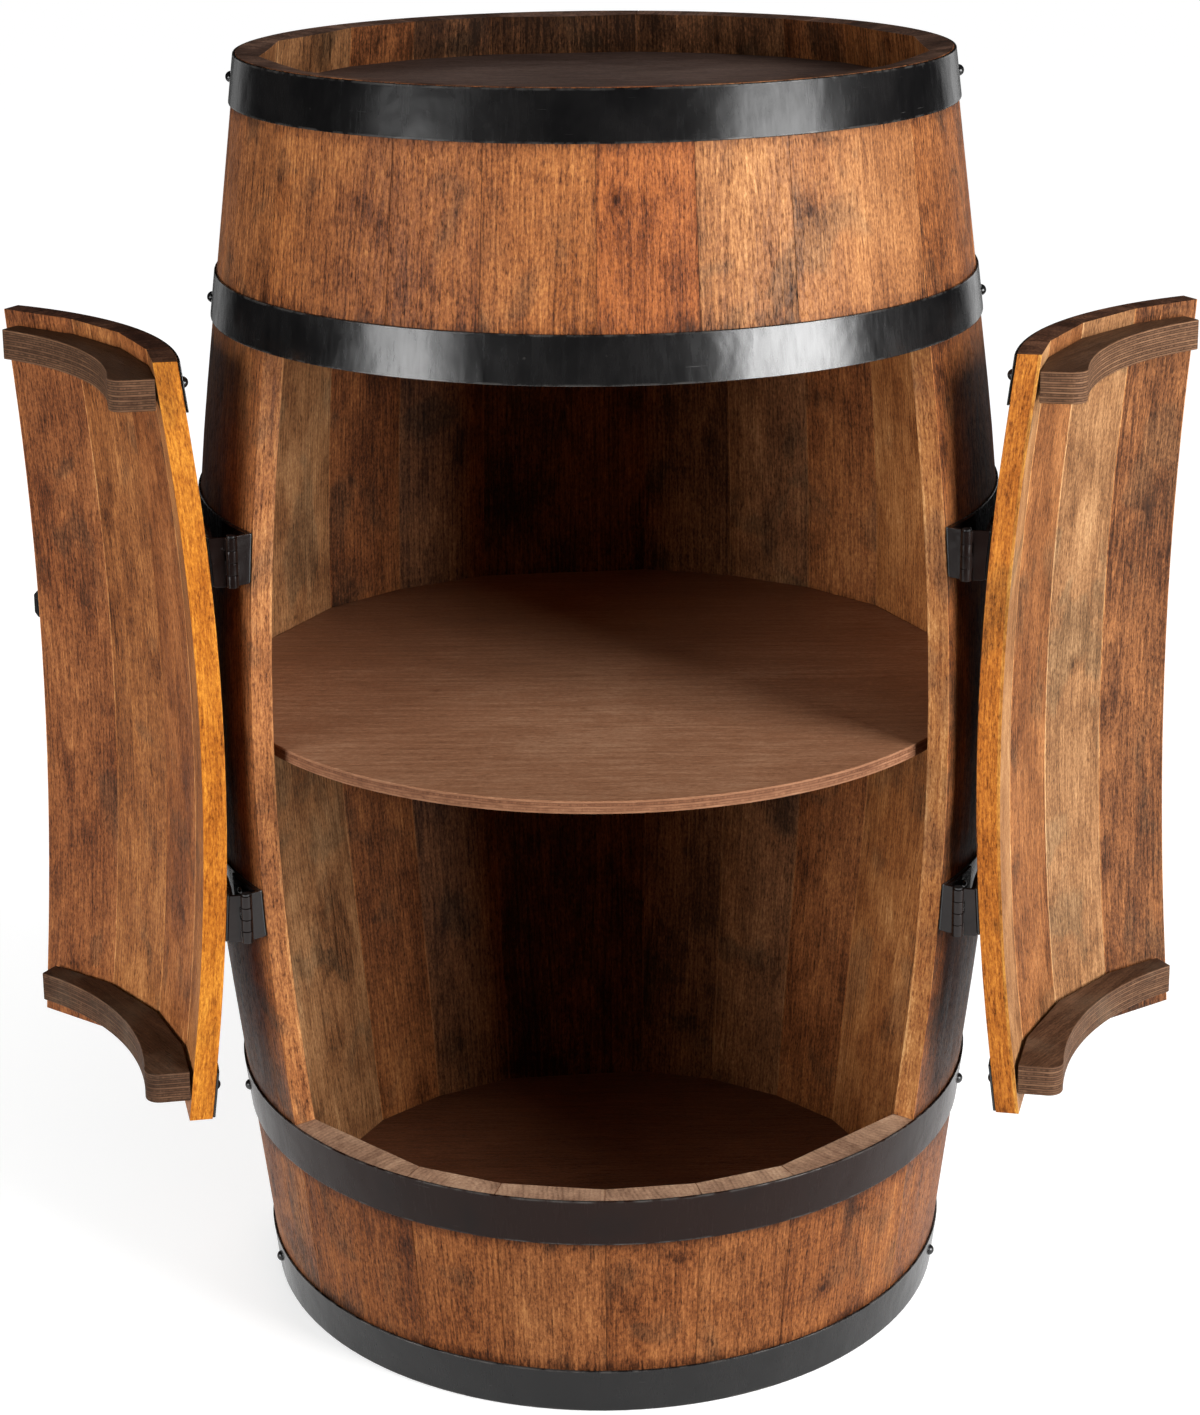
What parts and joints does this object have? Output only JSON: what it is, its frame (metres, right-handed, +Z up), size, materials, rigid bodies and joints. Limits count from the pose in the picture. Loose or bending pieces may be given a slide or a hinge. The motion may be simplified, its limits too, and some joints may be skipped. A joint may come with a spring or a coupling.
{
  "type": "barrel bar cabinet",
  "caption": "Free-standing cabinet shaped like a small wooden barrel, with a tray top, a shelf and two curved doors that swing wide open on strap hinges.",
  "frame": {"origin": "centre of the barrel at floor level", "axes": "+Z up, -Y towards the front (the door opening), +X to the right as seen from the front; the doors are stored wide open"},
  "size_m": [0.7463, 0.4942, 0.8],
  "materials": {
    "stave_wood": "brown stained, satin",
    "door_wood": "brown stained, satin",
    "head_board": "dark brown stained plywood",
    "shelf_board": "dark brown stained plywood",
    "rib_ply": "dark brown stained plywood, layers showing",
    "cleat_wood": "dark brown stained",
    "hoop_steel": "black satin paint",
    "hinge_steel": "black satin paint",
    "screw_steel": "black paint, worn on the heads",
    "latch_steel": "black satin paint"
  },
  "bodies": {
    "cabinet": {"stave_01": "stave_wood", "stave_02": "stave_wood", "stave_03": "stave_wood", "stave_04": "stave_wood", "stave_05": "stave_wood", "stave_06": "stave_wood", "stave_07": "stave_wood", "stave_08": "stave_wood", "stave_09": "stave_wood", "stave_10": "stave_wood", "stave_11": "stave_wood", "stave_12": "stave_wood", "upper_front_stave_1": "stave_wood", "upper_front_stave_2": "stave_wood", "upper_front_stave_3": "stave_wood", "upper_front_stave_4": "stave_wood", "upper_front_stave_5": "stave_wood", "upper_front_stave_6": "stave_wood", "lower_front_stave_1": "stave_wood", "lower_front_stave_2": "stave_wood", "lower_front_stave_3": "stave_wood", "lower_front_stave_4": "stave_wood", "lower_front_stave_5": "stave_wood", "lower_front_stave_6": "stave_wood", "top_hoop": "hoop_steel", "upper_quarter_hoop": "hoop_steel", "lower_quarter_hoop": "hoop_steel", "bottom_hoop": "hoop_steel", "upper_bilge_hoop": "hoop_steel", "lower_bilge_hoop": "hoop_steel", "top_panel": "head_board", "bottom_panel": "head_board", "shelf": "shelf_board", "shelf_cleats": "cleat_wood", "cabinet_hinge_leaves": "hinge_steel", "hinge_pins": "hinge_steel", "cabinet_screws": "screw_steel"},
    "left_door": {"left_door_stave_1": "door_wood", "left_door_stave_2": "door_wood", "left_door_stave_3": "door_wood", "left_door_stave_4": "door_wood", "left_door_end_straps": "hoop_steel", "left_door_bilge_straps": "hoop_steel", "left_door_upper_rib": "rib_ply", "left_door_lower_rib": "rib_ply", "left_door_hinge_leaves": "hinge_steel", "left_door_screws": "screw_steel", "latch_pivot": "latch_steel"},
    "right_door": {"right_door_stave_1": "door_wood", "right_door_stave_2": "door_wood", "right_door_stave_3": "door_wood", "right_door_stave_4": "door_wood", "right_door_end_straps": "hoop_steel", "right_door_bilge_straps": "hoop_steel", "right_door_upper_rib": "rib_ply", "right_door_lower_rib": "rib_ply", "right_door_hinge_leaves": "hinge_steel", "right_door_screws": "screw_steel", "latch_keeper": "latch_steel"},
    "latch_bar": {"latch_bar": "latch_steel"}
  },
  "joints": [
    {"name": "left_door_hinge", "type": "hinge", "parent": "cabinet", "child": "left_door", "pos_m": [-0.21358, -0.15518, 0.4065], "axis": [0, 0, 1], "range_deg": [0, 207]},
    {"name": "right_door_hinge", "type": "hinge", "parent": "cabinet", "child": "right_door", "pos_m": [0.21358, -0.15518, 0.4065], "axis": [0, 0, 1], "range_deg": [-205.5, 0]},
    {"name": "latch_turn", "type": "hinge", "parent": "left_door", "child": "latch_bar", "pos_m": [-0.3315, 0.01933, 0.433], "axis": [0.5519, 0.8339, 0], "range_deg": [0, 90]}
  ]
}
